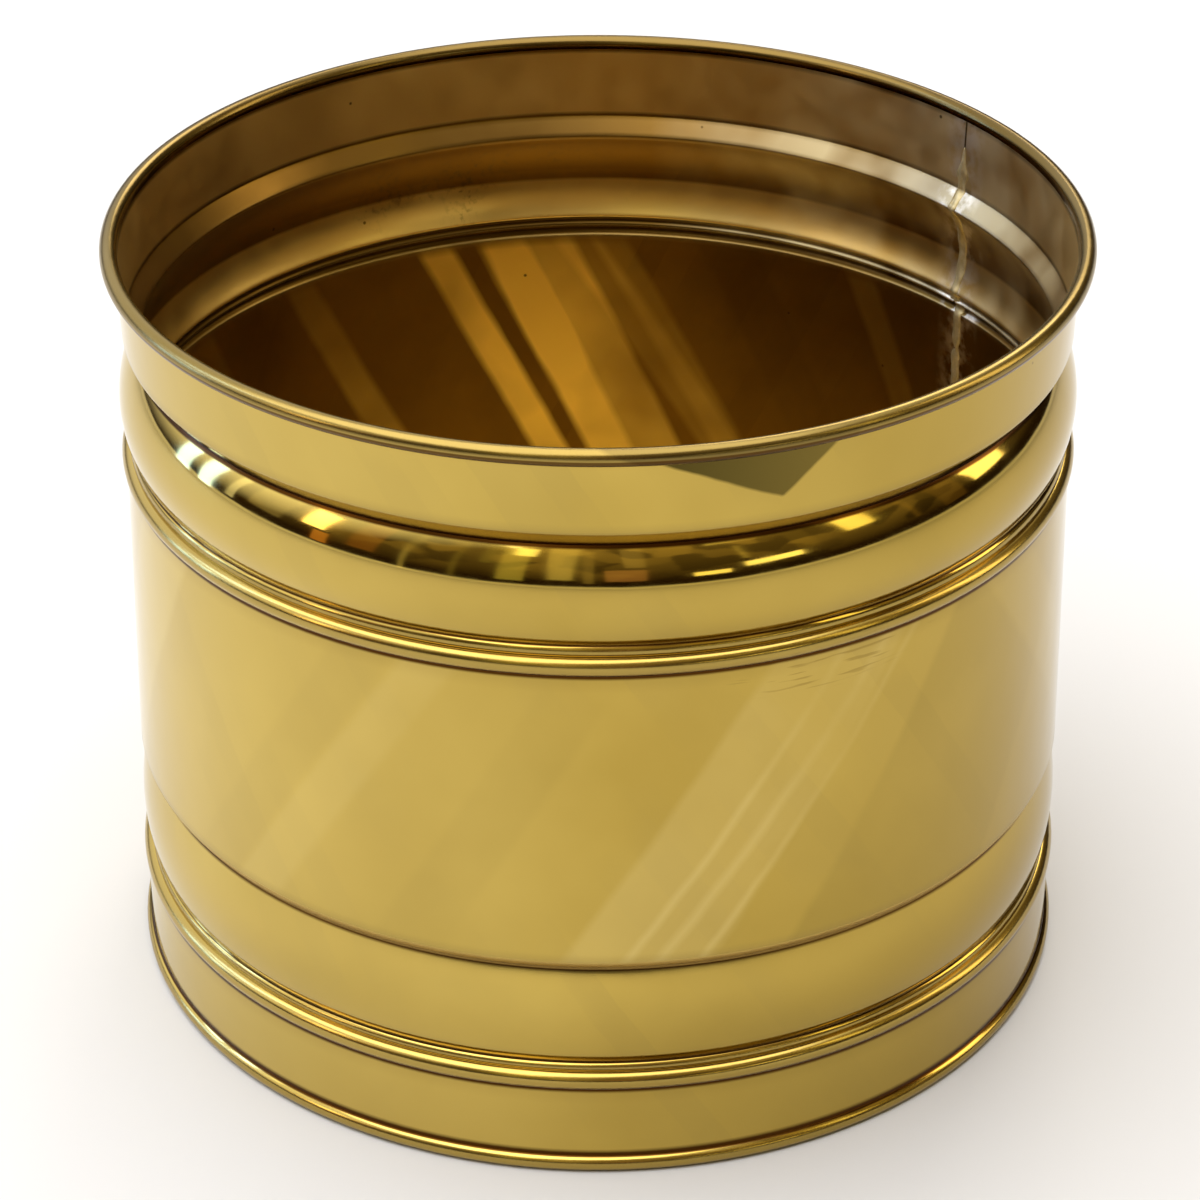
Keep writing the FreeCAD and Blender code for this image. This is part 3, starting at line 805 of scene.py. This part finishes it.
def make_solder(material):
    """The fillet of soft solder between the bottom's flange and the wall, a little lumpy.

    Its relief says how much each line of its section rises with the lumps. The waist, at 1, also
    moves in and out.
    """
    wall = BOTTOM_RADIUS + SOLDER_CLEARANCE
    toe = BOTTOM_RADIUS - SHEET
    foot = BOTTOM_LEVEL + BOTTOM_FLANGE + SOLDER_CLEARANCE
    waist = ((wall + toe) / 2, foot + SOLDER_WAIST)
    section = [(wall, foot), (wall, foot + SOLDER_HEIGHT), waist, (toe, foot)]
    bm = turned_piece(section, [0, 0.5, 1, 0.4])
    layer = bm.verts.layers.float["relief"]
    for vert in bm.verts:
        wave = noise.noise(vert.co / (SOLDER_LUMP_LENGTH * MM))
        lump = wave * SOLDER_LUMP * MM * vert[layer]
        if vert[layer] == 1:
            vert.co += Vector((-vert.co.x, -vert.co.y, 0)).normalized() * lump
        vert.co.z += max(lump, -SOLDER_DIP * MM)
    finish_piece("solder_fillet", bm, [material], "base_solder")


def make_floor():
    """The plain pale floor, wide enough for the wall to mirror it at a low angle too."""
    bm = bmesh.new()
    bmesh.ops.create_circle(bm, cap_ends=True, segments=FLOOR_SIDES, radius=FLOOR_RADIUS)
    mesh = bpy.data.meshes.new("floor")
    bm.to_mesh(mesh)
    bm.free()
    floor = bpy.data.objects.new("floor", mesh)
    bpy.context.collection.objects.link(floor)
    material, tree, shader = new_material("pale_floor")
    feed(tree, shader, {"Base Color": linear("#CACACC"), "Roughness": 0.7})
    mesh.materials.append(material)


def soft_light(name, azimuth, elevation, size, power, colour, lights_floor=True):
    """A rectangular light that faces the pot. Azimuth 0 is the camera's side and 90 is +X."""
    data = bpy.data.lights.new(name, "AREA")
    data.shape = "RECTANGLE"
    data.size, data.size_y = size
    data.energy = power
    data.color = linear(colour)[:3]
    light = bpy.data.objects.new(name, data)
    aim = Vector(LIGHT_AIM)
    across, up = math.radians(azimuth), math.radians(elevation)
    level = math.cos(up)
    towards = Vector((math.sin(across) * level, -math.cos(across) * level, math.sin(up)))
    light.location = aim + LIGHT_DISTANCE * towards
    light.rotation_euler = (aim - light.location).to_track_quat("-Z", "Y").to_euler()
    light.visible_camera = False
    light.visible_diffuse = lights_floor
    bpy.context.collection.objects.link(light)


def make_room():
    """What the pot mirrors: a dim brown room in front, open and bright at the left, back and top.

    The room is broken up into blocks, the floor goes on below the horizon, and behind the pot the
    camera sees plain white.
    """
    world = bpy.data.worlds.new("studio")
    bpy.context.scene.world = world
    world.use_nodes = True
    tree = world.node_tree
    direction = put(tree, "SeparateXYZ", {0: put(tree, "TexCoord").outputs["Generated"]})
    across, back, up = (direction.outputs[axis] for axis in "XYZ")
    front = put(tree, "Math", {0: back, 1: -1.0}, operation="MULTIPLY")
    azimuth = put(tree, "Math", {0: across, 1: front}, operation="ARCTAN2")
    grid = put(tree, "CombineXYZ", {"X": azimuth, "Y": up})
    blocks = put(
        tree,
        "TexVoronoi",
        {"Vector": grid, "Scale": ROOM_BLOCKS},
        voronoi_dimensions="2D",
        distance="CHEBYCHEV",
    )
    block = put(tree, "SeparateColor", {0: blocks.outputs["Color"]})
    openness = put(tree, "Math", {0: back, 1: 0.3, 2: up}, operation="MULTIPLY_ADD")
    openness = put(tree, "Math", {0: across, 1: -0.42, 2: openness}, operation="MULTIPLY_ADD")
    seen = put(tree, "LightPath").outputs["Is Camera Ray"]
    layers = (
        Layer(up, "#A8935E", none_at=0.08, whole_at=0.65),
        Layer(block, "#20160A", 0.7, none_at=0.2, whole_at=0.8),
        Layer(openness, "#F4F3F0", none_at=0.52, whole_at=0.76),
        Layer(up, "#D2D0CC", whole_at=-0.01),
        Layer(seen, "#FFFFFF"),
    )
    room = layered(tree, "#2A1D0E", layers)
    feed(tree, tree.nodes["Background"], {"Color": room, "Strength": ROOM_GLOW})


def make_lights():
    """Soft light from above and behind, and the bright panes, which only the metal mirrors."""
    soft_light("overhead", -60, 80, (3.2, 3.2), 88, "#FDFDFF")
    soft_light("back_window", 165, 38, (0.9, 0.8), 12, "#FFF4DC")
    for number, (azimuth, elevation, width, height, glow, colour) in enumerate(PANES):
        power = math.pi * width * height * glow
        soft_light(f"pane_{number}", azimuth, elevation, (width, height), power, colour, False)


def make_camera():
    """The camera at the photograph's place."""
    data = bpy.data.cameras.new("camera")
    data.sensor_width = CAMERA_SENSOR
    data.lens = CAMERA_LENS
    camera = bpy.data.objects.new("camera", data)
    camera.location = CAMERA_PLACE
    camera.rotation_euler = (math.radians(CAMERA_TILT), 0, 0)
    bpy.context.collection.objects.link(camera)
    bpy.context.scene.camera = camera


outside_brass = polished_brass()
inside_brass = tarnished_brass()

# Metals that aren't polished, with the size of their grain. The spun bottom is pale and matt, the
# brazing is filed down and yellowish, the drawn wire is grey with a sheen, and the solder leaden.
bottom_brass = dull_metal("dull_bottom_brass", "#ECD084", "#CCB066", roughness=0.58, grain=8)
brazing = dull_metal("filed_brazing", "#DCCEA4", "#988450", roughness=0.55, grain=2)
steel_wire = dull_metal("drawn_steel_wire", "#8A8A88", "#5C5A58", roughness=0.35, grain=1)
soft_solder = dull_metal("soft_solder", "#A7A59C", "#77756C", roughness=0.4, grain=2)

pressed_line = softened(evenly(sheet_line()), CREASE_REACH)
make_shell(pressed_line, outside_brass, inside_brass)
make_brazing(pressed_line, brazing)
make_bottom(bottom_brass)
make_solder(soft_solder)
for node in ("rim_wire", "foot_wire"):
    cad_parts[node].data.materials.clear()
    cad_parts[node].data.materials.append(steel_wire)

make_floor()
make_room()
make_lights()
make_camera()
bpy.context.scene.view_settings.view_transform = "Standard"
